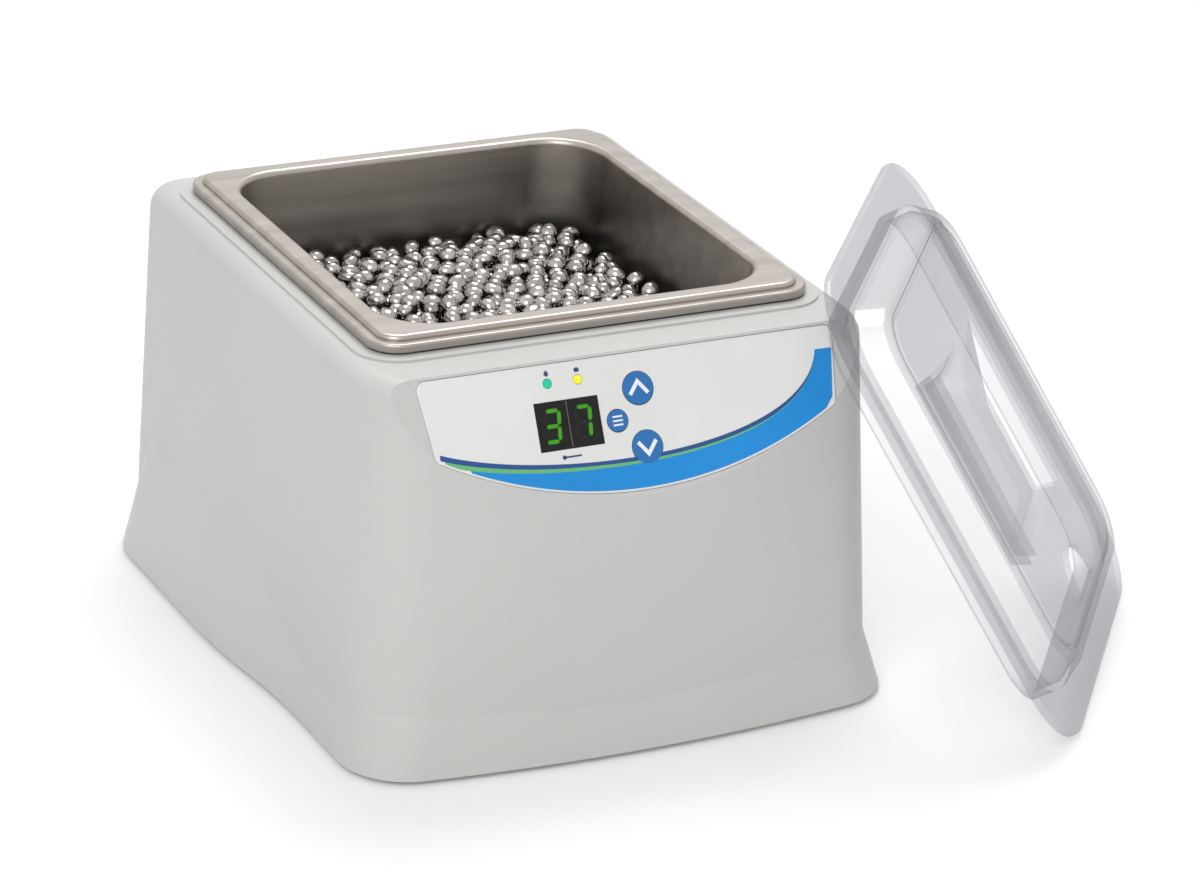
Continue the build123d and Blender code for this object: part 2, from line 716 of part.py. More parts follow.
core_z = power_top + core_h / 2
coil_room = (core_w - 4 * core_limb) / 2    # width of each window in the core
with BuildPart() as transformer_core:
    with BuildSketch(Plane.XZ.offset(-power_y - core_t / 2)):
        with Locations((core_x, core_z)):
            Rectangle(core_w, core_h)
            with Locations((core_limb + coil_room / 2, 0), (-core_limb - coil_room / 2, 0)):
                Rectangle(coil_room, core_h - 2 * core_limb, mode=Mode.SUBTRACT)
    extrude(amount=core_t)
transformer_core.part.label = "transformer_core"
export_step(transformer_core.part, "parts/transformer_core.step")

with BuildPart() as transformer_coil:
    with BuildSketch(Plane.XY.offset(core_z - core_h / 2 + core_limb + slip)):
        with Locations((core_x, power_y)):
            RectangleRounded(2 * (core_limb + coil_room - slip), core_t + 2 * coil_t, 3)
            Rectangle(2 * (core_limb + slip), core_t + 2 * slip, mode=Mode.SUBTRACT)
    extrude(amount=core_h - 2 * core_limb - 2 * slip)
transformer_coil.part.label = "transformer_coil"
export_step(transformer_coil.part, "parts/transformer_coil.step")

with BuildPart() as triac_heatsink:
    with BuildSketch(Plane.XY.offset(power_top)):
        with Locations((sink_x, power_y)):
            Rectangle(sink_w, sink_t, align=(Align.CENTER, Align.MAX))
            with GridLocations((sink_w - sink_t) / (sink_fins - 1), 0, sink_fins, 1):
                Rectangle(sink_t, sink_fin_l, align=(Align.CENTER, Align.MIN))
    extrude(amount=sink_h)
triac_heatsink.part.label = "triac_heatsink"
export_step(triac_heatsink.part, "parts/triac_heatsink.step")

with BuildPart() as triac:
    with BuildSketch(Plane.XY.offset(power_top + triac_rise)):
        with Locations((sink_x, power_y - sink_t)):
            Rectangle(triac_w, triac_t, align=(Align.CENTER, Align.MAX))
    extrude(amount=triac_h)
    with BuildSketch(Plane.XY.offset(power_top)):
        with Locations((sink_x, power_y - sink_t - triac_t / 2)):
            with GridLocations(triac_pitch, 0, 3, 1):
                Rectangle(triac_lead_w, triac_lead_w)
    extrude(amount=triac_rise)
triac.part.label = "triac"
export_step(triac.part, "parts/triac.step")

with BuildPart() as terminal_block:
    with BuildSketch(Plane.XY.offset(power_top)):
        with Locations((terminal_x, terminal_y)):
            Rectangle(terminal_count * terminal_pitch, terminal_d)
    extrude(amount=terminal_h)
    with BuildSketch(Plane.XY.offset(power_top + terminal_h)):
        with Locations((terminal_x, terminal_y)):
            with GridLocations(terminal_pitch, 0, terminal_count, 1):
                Circle(terminal_pitch / 3)
    extrude(amount=-terminal_pitch / 2, mode=Mode.SUBTRACT)
terminal_block.part.label = "terminal_block"
export_step(terminal_block.part, "parts/terminal_block.step")

with BuildPart() as power_capacitors:
    with BuildSketch(Plane.XY.offset(power_top)):
        with Locations(*capacitor_places):
            Circle(capacitor_r)
    extrude(amount=capacitor_h)
    fillet(power_capacitors.faces().group_by(Axis.Z)[-1].edges(), capacitor_r / 8)
power_capacitors.part.label = "power_capacitors"
export_step(power_capacitors.part, "parts/power_capacitors.step")

# Power inlet with its fuse drawer
blade_places = [(0, socket_rise + blade_offset)]
blade_places += [(side * blade_spacing / 2, socket_rise - blade_offset) for side in (-1, 1)]

with BuildPart() as power_inlet:
    with BuildSketch(inlet_plane):
        RectangleRounded(inlet_w, inlet_h, flange_lap)
    extrude(amount=flange_t)
    with BuildSketch(inlet_plane):
        Rectangle(inlet_body_w, inlet_body_h)
    extrude(amount=-inlet_depth)
    with BuildSketch(inlet_plane.offset(flange_t)) as socket:
        with Locations((0, socket_rise)):
            Rectangle(socket_w, socket_h)
        chamfer(socket.vertices().group_by(Axis.Y)[-1], socket_chamfer)
    extrude(amount=-socket_depth, mode=Mode.SUBTRACT)
    with BuildSketch(inlet_plane.offset(flange_t)):
        with Locations((0, -drawer_drop)):
            Rectangle(drawer_w, drawer_h)
    extrude(amount=-drawer_depth - run, mode=Mode.SUBTRACT)
    with BuildSketch(inlet_plane):
        with Locations(*blade_places):
            Rectangle(blade_t, blade_w)
    extrude(amount=-inlet_depth, mode=Mode.SUBTRACT)
power_inlet.part.label = "power_inlet"
export_step(power_inlet.part, "parts/power_inlet.step")

with BuildPart() as inlet_pins:
    with BuildSketch(inlet_plane.offset(-inlet_depth - tab_l)):
        with Locations(*blade_places):
            Rectangle(blade_t, blade_w)
    extrude(amount=inlet_depth + tab_l + flange_t - socket_depth + blade_reach)
    chamfer(inlet_pins.faces().group_by(Axis.Y)[-1].edges(), blade_t / 5)
inlet_pins.part.label = "inlet_pins"
export_step(inlet_pins.part, "parts/inlet_pins.step")

with BuildPart() as fuse_drawer:
    with BuildSketch(inlet_plane.offset(flange_t - drawer_depth)):
        with Locations((0, -drawer_drop)):
            Rectangle(drawer_w - 2 * run, drawer_h - 2 * run)
    extrude(amount=drawer_depth + drawer_lip)
    with BuildSketch(Plane.XY.offset(fuse_z)):
        with Locations((inlet_x, fuse_y)):
            Rectangle(fuse_l + 2 * slip, 2 * (fuse_r + slip))
    extrude(amount=drawer_h, mode=Mode.SUBTRACT)
    with BuildSketch(Plane.YZ.offset(inlet_x - fuse_l / 2 - slip)):
        with Locations((fuse_y, fuse_z)):
            Circle(fuse_r + slip)
    extrude(amount=fuse_l + 2 * slip, mode=Mode.SUBTRACT)
fuse_drawer.part.label = "fuse_drawer"
export_step(fuse_drawer.part, "parts/fuse_drawer.step")

with BuildPart() as fuse:
    with BuildSketch(Plane.YZ.offset(inlet_x - fuse_l / 2)):
        with Locations((fuse_y, fuse_z)):
            Circle(fuse_r)
    extrude(amount=fuse_l)
fuse.part.label = "fuse"
export_step(fuse.part, "parts/fuse.step")

# Power switch: a frame and a rocker on two stubs
with BuildPart() as power_switch_frame:
    with BuildSketch(switch_plane):
        RectangleRounded(frame_w, frame_h, frame_lap)
    extrude(amount=frame_t)
    with BuildSketch(switch_plane):
        Rectangle(frame_body_w, frame_body_h)
    extrude(amount=-frame_depth)
    with BuildSketch(switch_plane.offset(frame_t)):
        Rectangle(rocker_w, rocker_h)
    extrude(amount=-pivot_depth - rocker_room, mode=Mode.SUBTRACT)
    with BuildSketch(Plane.YZ.offset(switch_x - frame_body_w / 2)):
        with Locations((pivot_y, switch_z)):
            Circle(pivot_r + pivot_gap)
    extrude(amount=frame_body_w, mode=Mode.SUBTRACT)
power_switch_frame.part.label = "power_switch_frame"
export_step(power_switch_frame.part, "parts/power_switch_frame.step")

rocker_plane = Plane(
    origin=(switch_x, pivot_y, switch_z),
    x_dir=(0, cos(radians(rocker_tilt)), sin(radians(rocker_tilt))),
    z_dir=(1, 0, 0),
)
rocker_r = rocker_h / 2 - run
with BuildPart() as power_rocker:
    with BuildSketch(rocker_plane.offset(run - rocker_w / 2)):
        with BuildLine():
            upper = CenterArc((0, 0), rocker_r, 90 - rocker_corner, rocker_corner + rocker_foot)
            lower = CenterArc((0, 0), rocker_r, -90 - rocker_foot, rocker_corner + rocker_foot)
            Line(upper @ 1, lower @ 0)
            Polyline(lower @ 1, (rocker_valley, 0), upper @ 0)
        make_face()
    extrude(amount=rocker_w - 2 * run)
    with BuildSketch(rocker_plane.offset(-frame_body_w / 2 + run)):
        Circle(pivot_r)
    extrude(amount=frame_body_w - 2 * run)
power_rocker.part.label = "power_rocker"
export_step(power_rocker.part, "parts/power_rocker.step")

with BuildPart() as switch_tabs:
    with BuildSketch(switch_plane.offset(-frame_depth)):
        with GridLocations(frame_body_w / 2, frame_body_h / 3, 2, 2):
            Rectangle(0.8, 4.8)
    extrude(amount=-tab_l)
switch_tabs.part.label = "switch_tabs"
export_step(switch_tabs.part, "parts/switch_tabs.step")

# Lid. Its plane has x along the lower edge, y up the lid and z out of its upper face
lid_across = Vector(cos(radians(lid_heading)), sin(radians(lid_heading)), 0)
lid_back = Vector(-lid_across.Y, lid_across.X, 0)
lid_up = lid_back * cos(radians(lid_lean)) + Vector(0, 0, sin(radians(lid_lean)))
lid_plane = Plane(origin=(lid_x, lid_y, 0), x_dir=lid_across, z_dir=lid_across.cross(lid_up))


def lid_plan(w, width, length, radius):
    """Rounded rectangle round the middle of the lid, at height w over its underside."""
    with BuildSketch(lid_plane.offset(w)) as plan:
        with Locations((lid_short / 2, lid_long / 2)):
            RectangleRounded(width, length, radius)
    return plan.sketch


def dome_plan(w, grow=0.0):
    """Outline of the raised middle at height w: straight to the border, then leaning in."""
    lean = tan(radians(dome_slope)) * max(0, w - lid_t)
    return lid_plan(w, dome_w + 2 * (grow - lean), dome_l + 2 * (grow - lean), dome_corner_r + grow)


def well_plan(w, grow=0.0):
    """Hand well at height w: upright walls but for a ramp at its upper end, which runs askew."""
    depth = (dome_top - w) / well_depth
    lower_left, lower_right, upper_right, upper_left = [Vector(*corner) for corner in well_mouth]
    inward = Vector(well_draft, well_draft) * depth
    ramp = Vector(0, well_ramp) * depth
    corners = (
        lower_left + inward - Vector(grow, grow),
        lower_right + Vector(-inward.X, inward.Y) - Vector(-grow, grow),
        upper_right - Vector(inward.X, 0) - ramp + Vector(grow, grow),
        upper_left - Vector(-inward.X, inward.Y) + Vector(-grow, grow),
    )
    with BuildSketch(lid_plane.offset(w)) as plan:
        Polygon(*[(corner.X, corner.Y) for corner in corners], align=None)
    return plan.sketch


with BuildPart() as lid_hollow:
    extrude(dome_plan(-locating_h - slip, -lid_t), locating_h + slip + lid_t)
    loft([dome_plan(lid_t, -lid_t), dome_plan(dome_top - lid_t, -lid_t)], ruled=True)
    loft([well_plan(well_floor - lid_t, lid_t), well_plan(dome_top, lid_t)], ruled=True, mode=Mode.SUBTRACT)

with BuildPart() as lid:
    extrude(lid_plan(0, lid_short, lid_long, lid_r), lid_t)
    fillet(lid.faces().group_by(Axis(lid_plane.origin, lid_plane.z_dir))[-1].edges(), lid_edge_r)
    extrude(dome_plan(-locating_h), locating_h)
    loft([dome_plan(lid_t), dome_plan(dome_top)], ruled=True)
    fillet(lid.faces().group_by(Axis(lid_plane.origin, lid_plane.z_dir))[-1].edges(), dome_edge_r)
    with BuildSketch(lid_plane.offset(dome_top)) as groove:
        with Locations((lid_short / 2, lid_long / 2)):
            RectangleRounded(top_w - 2 * groove_inset, top_l - 2 * groove_inset, dome_corner_r - groove_inset)
            RectangleRounded(
                top_w - 2 * (groove_inset + groove_w),
                top_l - 2 * (groove_inset + groove_w),
                dome_corner_r - groove_inset - groove_w,
                mode=Mode.SUBTRACT,
            )
    extrude(amount=-groove_depth, mode=Mode.SUBTRACT)
    add(lid_hollow.part, mode=Mode.SUBTRACT)
    loft([well_plan(well_floor), well_plan(dome_top)], ruled=True, mode=Mode.SUBTRACT)
    with BuildSketch(lid_plane) as notch:
        with BuildLine():
            ends = [(lid_short / 2 + side * notch_w / 2, notch_start) for side in (-1, 1)]
            Line(ends[0], ends[1])
            ThreePointArc(ends[1], (lid_short / 2, notch_start + notch_l), ends[0])
        make_face()
    extrude(amount=dome_top, mode=Mode.SUBTRACT)
lid.part.label = "lid"
export_step(lid.part, "parts/lid.step")
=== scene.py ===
# %% [markdown]
# # A bead bath on a white ground
#
# A bead bath is a warm steel well full of metal beads, in a moulded casing. This script dresses the
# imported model: it keeps the pieces whose shape is already right and gives them a finish, and it
# models what a solid can't show well, such as the loose beads and the print on the panel.
# Everything is in metres, in the model's own frame: the origin is on the bench between the feet,
# the control panel faces -Y and +Z is up.

# %% Load the model
import bmesh
import bpy
import numpy as np
from mathutils import Matrix, Vector


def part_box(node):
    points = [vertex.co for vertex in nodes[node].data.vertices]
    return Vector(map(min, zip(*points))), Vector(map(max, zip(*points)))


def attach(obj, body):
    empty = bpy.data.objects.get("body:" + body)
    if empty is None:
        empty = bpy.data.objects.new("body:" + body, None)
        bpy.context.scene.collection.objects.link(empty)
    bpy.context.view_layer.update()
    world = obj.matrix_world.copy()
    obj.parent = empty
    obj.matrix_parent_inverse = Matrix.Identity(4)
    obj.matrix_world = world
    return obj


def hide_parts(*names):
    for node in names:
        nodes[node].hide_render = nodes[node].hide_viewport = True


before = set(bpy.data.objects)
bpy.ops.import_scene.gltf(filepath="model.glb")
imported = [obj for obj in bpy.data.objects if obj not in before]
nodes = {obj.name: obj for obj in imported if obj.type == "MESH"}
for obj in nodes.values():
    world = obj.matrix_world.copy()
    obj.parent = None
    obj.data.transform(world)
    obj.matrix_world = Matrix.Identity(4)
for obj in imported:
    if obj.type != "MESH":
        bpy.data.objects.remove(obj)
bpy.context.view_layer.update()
scene = bpy.context.scene
scene.view_settings.view_transform = "Standard"

# %% [markdown]
# ## Camera
#
# The photograph was taken with a long lens from the front left, a little above the bath. The
# camera's place was worked out from the edges of the pan, whose size is a standard one. A long lens
# far away keeps the sides nearly parallel, as in the photograph.

# %% Camera
camera_eye = Vector((-0.6574, -1.3839, 0.7152))
camera_aim = Vector((0.0343, -0.0050, 0.0652))
camera_roll = 2.47      # degrees, the photograph is tilted by this
lens_mm = 142.15
sensor_mm = 36.0
farthest_seen = 20.0

camera_data = bpy.data.cameras.new("camera")
camera_data.lens = lens_mm
camera_data.sensor_width = sensor_mm
camera_data.sensor_fit = "HORIZONTAL"
camera_data.clip_end = farthest_seen
camera = bpy.data.objects.new("camera", camera_data)
aim = (camera_aim - camera_eye).to_track_quat("-Z", "Y").to_matrix().to_4x4()
camera.matrix_world = Matrix.Translation(camera_eye) @ aim @ Matrix.Rotation(np.radians(camera_roll), 4, "Z")
scene.collection.objects.link(camera)
scene.camera = camera
print("camera at", tuple(round(c, 3) for c in camera_eye))

# %% [markdown]
# ## Floor, sky and lamps
#
# A product photograph has a white ground and soft light. Two helpers come first: one puts arrays of
# points and faces into a mesh at the origin, and the other starts a material from an empty tree.

# %% Helpers for meshes and materials
def add_mesh(name, points, faces, smooth=True):
    """Object at the origin whose mesh has these points (n, 3) and faces (m, 3 or 4)."""
    mesh = bpy.data.meshes.new(name)
    mesh.from_pydata(np.asarray(points, float).tolist(), [], np.asarray(faces).tolist())
    mesh.polygons.foreach_set("use_smooth", [smooth] * len(mesh.polygons))
    mesh.validate()
    mesh.update()
    piece = bpy.data.objects.new(name, mesh)
    scene.collection.objects.link(piece)
    return piece


def new_material(name):
    """Empty node material with its output, ready to be wired."""
    material = bpy.data.materials.new(name)
    material.use_nodes = True
    tree = material.node_tree
    tree.nodes.clear()
    output = tree.nodes.new("ShaderNodeOutputMaterial")
    return material, tree, output


def seen_ray(tree):
    """1 for rays that the camera sees, straight or by a mirror or glass, and 0 for light."""
    path = tree.nodes.new("ShaderNodeLightPath")
    total = tree.nodes.new("ShaderNodeMath")
    total.operation = "MAXIMUM"
    tree.links.new(path.outputs["Is Camera Ray"], total.inputs[0])
    both = tree.nodes.new("ShaderNodeMath")
    both.operation = "MAXIMUM"
    tree.links.new(path.outputs["Is Glossy Ray"], both.inputs[0])
    tree.links.new(path.outputs["Is Transmission Ray"], both.inputs[1])
    tree.links.new(both.outputs[0], total.inputs[1])
    return total.outputs[0]


print("meshes of the packed model:", len(bpy.data.meshes))

# %% [markdown]
# The floor is a plain white sheet. Its material adds a little glow for the rays that are seen and
# none for the rays that light things, so that it turns white away from the object and still takes
# the shadow.

# %% Floor
floor_half = 6.0        # the sheet reaches this far each way
floor_white = (0.88, 0.88, 0.88, 1)
floor_glow = 0.12

floor_corners = floor_half * np.array([(-1, -1, 0), (1, -1, 0), (1, 1, 0), (-1, 1, 0)])
floor = add_mesh("floor", floor_corners, [(0, 1, 2, 3)])
material, tree, output = new_material("floor_paper")
paper = tree.nodes.new("ShaderNodeBsdfDiffuse")
paper.inputs["Color"].default_value = floor_white
glow = tree.nodes.new("ShaderNodeEmission")
glow.inputs["Color"].default_value = (1, 1, 1, 1)
strength = tree.nodes.new("ShaderNodeMath")
strength.operation = "MULTIPLY"
strength.inputs[1].default_value = floor_glow
tree.links.new(seen_ray(tree), strength.inputs[0])
tree.links.new(strength.outputs[0], glow.inputs["Strength"])
both = tree.nodes.new("ShaderNodeAddShader")
tree.links.new(paper.outputs[0], both.inputs[0])
tree.links.new(glow.outputs[0], both.inputs[1])
tree.links.new(both.outputs[0], output.inputs["Surface"])
floor.data.materials.append(material)
print("floor reaches", floor_half, "m each way")

# %% [markdown]
# The sky is white for the camera, for mirrors and for glass, and dimmer as a lamp, so that it
# doesn't bleach the casing.

# %% Sky
sky_light = 0.55        # strength as a lamp, where 1 is white
sky_seen = 1.0

world = bpy.data.worlds.new("white_sky")
world.use_nodes = True
scene.world = world
tree = world.node_tree
tree.nodes.clear()
output = tree.nodes.new("ShaderNodeOutputWorld")
sky = tree.nodes.new("ShaderNodeBackground")
sky.inputs["Color"].default_value = (1, 1, 1, 1)
level = tree.nodes.new("ShaderNodeMapRange")
level.inputs["To Min"].default_value = sky_light
level.inputs["To Max"].default_value = sky_seen
tree.links.new(seen_ray(tree), level.inputs["Value"])
tree.links.new(level.outputs[0], sky.inputs["Strength"])
tree.links.new(sky.outputs[0], output.inputs["Surface"])
print("sky lights with", sky_light)

# %% [markdown]
# The rest of the light comes from two large soft boxes. The main one stands in front on the left,
# high up. The other hangs behind on the right and throws the soft shadow forward.

# %% Lamps
def soft_box(name, place, aim_at, size, power):
    """Square area lamp at place that faces aim_at, with its size in metres and power in watts."""
    lamp_data = bpy.data.lights.new(name, "AREA")
    lamp_data.shape = "SQUARE"
    lamp_data.size = size
    lamp_data.energy = power
    lamp = bpy.data.objects.new(name, lamp_data)
    lamp.location = place
    lamp.rotation_euler = (Vector(aim_at) - Vector(place)).to_track_quat("-Z", "Y").to_euler()
    scene.collection.objects.link(lamp)


middle = (0.03, 0.0, 0.07)
soft_box("main_box", (-1.1, -1.3, 1.5), middle, size=1.2, power=20.0)
soft_box("top_box", (0.5, 0.8, 1.7), middle, size=1.0, power=16.0)
print("lamps:", len(bpy.data.lights))

# %% [markdown]
# ## Finishes
#
# A moulded or brushed surface is never one flat colour. Effects that several finishes use are
# shader groups: `cloudy` varies a colour slowly and `fine_grain` gives the small bumps of a spark
# eroded mould. Both read Object coordinates, in metres, so the grain keeps its real size. A Stretch
# that differs by axis draws the pattern out into brush marks.

# %% Shared effects
def new_group(name, inputs, output_name, output_kind):
    """Shader node group with these inputs, given as (name, type, default), and one output."""
    group = bpy.data.node_groups.new(name, "ShaderNodeTree")
    for socket_name, kind, value in inputs:
        socket = group.interface.new_socket(socket_name, in_out="INPUT", socket_type=kind)
        socket.default_value = value
    group.interface.new_socket(output_name, in_out="OUTPUT", socket_type=output_kind)
    group_in = group.nodes.new("NodeGroupInput")
    group_out = group.nodes.new("NodeGroupOutput")
    return group, group_in, group_out


def stretched_noise(group, group_in, detail):
    """Noise on Object coordinates that are multiplied by the group's Stretch, at its Scale."""
    place = group.nodes.new("ShaderNodeTexCoord")
    stretch = group.nodes.new("ShaderNodeVectorMath")
    stretch.operation = "MULTIPLY"
    noise = group.nodes.new("ShaderNodeTexNoise")
    noise.inputs["Detail"].default_value = detail
    group.links.new(place.outputs["Object"], stretch.inputs[0])
    group.links.new(group_in.outputs["Stretch"], stretch.inputs[1])
    group.links.new(stretch.outputs[0], noise.inputs["Vector"])
    group.links.new(group_in.outputs["Scale"], noise.inputs["Scale"])
    return noise.outputs[0]


print("groups before the effects:", len(bpy.data.node_groups))

# %% Slow change of colour
cloud_inputs = [
    ("Color", "NodeSocketColor", (0.8, 0.8, 0.8, 1)),
    ("Scale", "NodeSocketFloat", 20.0),
    ("Amount", "NodeSocketFloat", 0.05),
    ("Stretch", "NodeSocketVector", (1, 1, 1)),
]
cloudy, group_in, group_out = new_group("cloudy", cloud_inputs, "Color", "NodeSocketColor")
noise = stretched_noise(cloudy, group_in, 4.0)
spread = cloudy.nodes.new("ShaderNodeMapRange")
spread.inputs["From Min"].default_value = 0.3
spread.inputs["From Max"].default_value = 0.7
spread.inputs["To Min"].default_value = -1.0
spread.inputs["To Max"].default_value = 1.0
amount = cloudy.nodes.new("ShaderNodeMath")
amount.operation = "MULTIPLY_ADD"
amount.inputs[2].default_value = 1.0
shade = cloudy.nodes.new("ShaderNodeVectorMath")
shade.operation = "SCALE"
cloudy.links.new(noise, spread.inputs["Value"])
cloudy.links.new(spread.outputs[0], amount.inputs[0])
cloudy.links.new(group_in.outputs["Amount"], amount.inputs[1])
cloudy.links.new(group_in.outputs["Color"], shade.inputs[0])
cloudy.links.new(amount.outputs[0], shade.inputs["Scale"])
cloudy.links.new(shade.outputs[0], group_out.inputs["Color"])
print("effect:", cloudy.name)

# %% Small bumps
bump_height = 0.0003

grain_inputs = [
    ("Scale", "NodeSocketFloat", 1500.0),
    ("Strength", "NodeSocketFloat", 0.1),
    ("Stretch", "NodeSocketVector", (1, 1, 1)),
]
fine_grain, group_in, group_out = new_group("fine_grain", grain_inputs, "Normal", "NodeSocketVector")
bump = fine_grain.nodes.new("ShaderNodeBump")
bump.inputs["Distance"].default_value = bump_height
fine_grain.links.new(stretched_noise(fine_grain, group_in, 2.0), bump.inputs["Height"])
fine_grain.links.new(group_in.outputs["Strength"], bump.inputs["Strength"])
fine_grain.links.new(bump.outputs[0], group_out.inputs["Normal"])
print("effect:", fine_grain.name)

# %% [markdown]
# One function wires a Principled surface to those groups. What is the same all over, such as
# metal or not, stays a plain number on the shader's own socket. Another function gives the finish
# to nodes whose shape is already right.

# %% One function for most finishes
even = (1, 1, 1)
brushed = (0.2, 6.0, 6.0)       # brush marks along X
film_grain = (2500.0, 0.05)
ink_grain = (2500.0, 0.03)


def finish(name, color, roughness, metallic=0.0, cloud=(20.0, 0.03), grain=(1500.0, 0.1), stretch=even):
    """Principled material: cloud is (scale, amount) for `cloudy`, grain (scale, strength) for bumps."""
    material, tree, output = new_material(name)
    surface = tree.nodes.new("ShaderNodeBsdfPrincipled")
    surface.inputs["Roughness"].default_value = roughness
    surface.inputs["Metallic"].default_value = metallic
    tree.links.new(surface.outputs[0], output.inputs["Surface"])
    colour = tree.nodes.new("ShaderNodeGroup")
    colour.node_tree = cloudy
    colour.inputs["Color"].default_value = (*color, 1)
    colour.inputs["Scale"].default_value = cloud[0]
    colour.inputs["Amount"].default_value = cloud[1]
    colour.inputs["Stretch"].default_value = stretch
    tree.links.new(colour.outputs["Color"], surface.inputs["Base Color"])
    texture = tree.nodes.new("ShaderNodeGroup")
    texture.node_tree = fine_grain
    texture.inputs["Scale"].default_value = grain[0]
    texture.inputs["Strength"].default_value = grain[1]
    texture.inputs["Stretch"].default_value = stretch
    tree.links.new(texture.outputs["Normal"], surface.inputs["Normal"])
    return material


def dress(material, *names):
    """The CAD nodes of these names get this finish in place of their own."""
    for name in names:
        mesh = nodes[name].data
        mesh.materials.clear()
        mesh.materials.append(material)
    print(material.name, "on", *names)


# %% [markdown]
# The casing is one moulding in a warm light grey with a fine mould grain. The base is a darker
# plastic on four rubber feet.

# %% Casing, base and feet
feet = [name for name in nodes if name.startswith("foot_")]
dress(finish("casing_plastic", (0.56, 0.56, 0.545), 0.42, cloud=(9.0, 0.02), grain=(1400.0, 0.15)), "housing")
dress(finish("base_plastic", (0.05, 0.05, 0.055), 0.5), "base_plate")
dress(finish("foot_rubber", (0.02, 0.02, 0.02), 0.8), *feet)
dress(finish("screw_steel", (0.5, 0.5, 0.5), 0.3, metallic=1.0), "base_screws", "control_board_screws")

# %% [markdown]
# Under and round the pan lie the parts that heat it: a brushed spreader, a silicone heater, mineral
# wool and the steel cradle that presses them up.

# %% Heating parts
dress(finish("gasket_rubber", (0.03, 0.03, 0.03), 0.7), "pan_gasket")
dress(finish("spreader_aluminium", (0.7, 0.7, 0.7), 0.35, metallic=1.0, stretch=brushed), "heat_spreader")
dress(finish("heater_silicone", (0.55, 0.12, 0.05), 0.6), "heater_mat")
wool = finish("insulation_wool", (0.75, 0.72, 0.62), 0.95, grain=(600.0, 0.8))
dress(wool, "insulation_pad", "insulation_jacket")
dress(finish("cradle_steel", (0.55, 0.56, 0.58), 0.4, metallic=1.0), "pan_cradle")
dress(finish("probe_steel", (0.6, 0.6, 0.6), 0.3, metallic=1.0), "temperature_sensor")

# %% [markdown]
# The panel is a printed film with blue keys and a black display behind it.

# %% Panel, display and keys
dress(finish("overlay_film", (0.76, 0.76, 0.75), 0.38, grain=film_grain), "control_overlay")
dress(finish("display_black", (0.006, 0.006, 0.007), 0.3), "display_module")
dress(finish("digit_unlit", (0.07, 0.07, 0.07), 0.5), "display_digits_unlit")
dress(finish("key_blue", (0.012, 0.15, 0.44), 0.35, grain=ink_grain), "key_up", "key_mode", "key_down")

# %% [markdown]
# Inside are two boards with their parts, and the rear wall has the inlet, the fuse drawer and the
# switch.

# %% Boards and power
laminations = (1, 1, 60)        # thin sheets of steel, stacked along Z
small_black = ("thermal_fuse", "tact_switches", "triac", "power_capacitors")
rear_black = ("power_inlet", "fuse_drawer", "power_switch_frame", "power_rocker")

dress(finish("component_black", (0.02, 0.02, 0.022), 0.4), *small_black)
dress(finish("board_green", (0.02, 0.16, 0.06), 0.45, cloud=(60.0, 0.1)), "control_board", "power_board")
dress(finish("core_steel", (0.2, 0.2, 0.21), 0.5, metallic=1.0, stretch=laminations), "transformer_core")
dress(finish("coil_tape", (0.6, 0.42, 0.06), 0.4), "transformer_coil")
sink = finish("sink_aluminium", (0.05, 0.05, 0.05), 0.45, metallic=0.6)
dress(sink, "triac_heatsink", "power_board_spacers")
dress(finish("terminal_green", (0.02, 0.3, 0.1), 0.45), "terminal_block")
dress(finish("inlet_black", (0.018, 0.018, 0.018), 0.42), *rear_black)
dress(finish("contact_brass", (0.75, 0.55, 0.2), 0.3, metallic=1.0), "inlet_pins", "switch_tabs")

# %% [markdown]
# The pan is brushed steel. Its inside gets darker with depth: painted shade for the shadow that
# the beads and walls cast there.

# %% Steel pan
# Painted shade: below the rim the pan's inside is darkened with depth.
rim_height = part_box("bath_pan")[1][2]
still_bright = rim_height - 0.002
fully_shaded = rim_height - 0.030
painted_shade_share = 0.35      # what is left of the colour there


def darker_below(material, top, bottom, share):
    """Painted shade: the material's base colour falls to this share of itself between heights top and bottom.
    """
    tree = material.node_tree
    surface = next(node for node in tree.nodes if node.type == "BSDF_PRINCIPLED")
    source = surface.inputs["Base Color"].links[0].from_socket
    place = tree.nodes.new("ShaderNodeTexCoord")
    parts = tree.nodes.new("ShaderNodeSeparateXYZ")
    fall = tree.nodes.new("ShaderNodeMapRange")
    fall.inputs["From Min"].default_value = bottom
    fall.inputs["From Max"].default_value = top
    fall.inputs["To Min"].default_value = share
    fall.inputs["To Max"].default_value = 1.0
    shade = tree.nodes.new("ShaderNodeVectorMath")
    shade.operation = "SCALE"
    tree.links.new(place.outputs["Object"], parts.inputs[0])
    tree.links.new(parts.outputs["Z"], fall.inputs["Value"])
    tree.links.new(source, shade.inputs[0])
    tree.links.new(fall.outputs[0], shade.inputs["Scale"])
    tree.links.new(shade.outputs[0], surface.inputs["Base Color"])


pan_grey = (0.40, 0.37, 0.335)
pan_steel = finish("pan_steel", pan_grey, 0.36, 1.0, cloud=(25.0, 0.12), grain=(220.0, 0.12), stretch=brushed)
darker_below(pan_steel, still_bright, fully_shaded, painted_shade_share)
dress(pan_steel, "bath_pan")

# %% [markdown]
# ## What glows and what is clear
#
# The lit digits and the two lamps give a little light of their own.

# %% Lamps and digits
def glowing(name, color, strength):
    """Coloured plastic that shines with its own colour, where a strength of 1 is the full colour."""
    material, tree, output = new_material(name)
    surface = tree.nodes.new("ShaderNodeBsdfPrincipled")
    surface.inputs["Base Color"].default_value = (*color, 1)
    surface.inputs["Roughness"].default_value = 0.3
    surface.inputs["Emission Color"].default_value = (*color, 1)
    surface.inputs["Emission Strength"].default_value = strength
    tree.links.new(surface.outputs[0], output.inputs["Surface"])
    return material


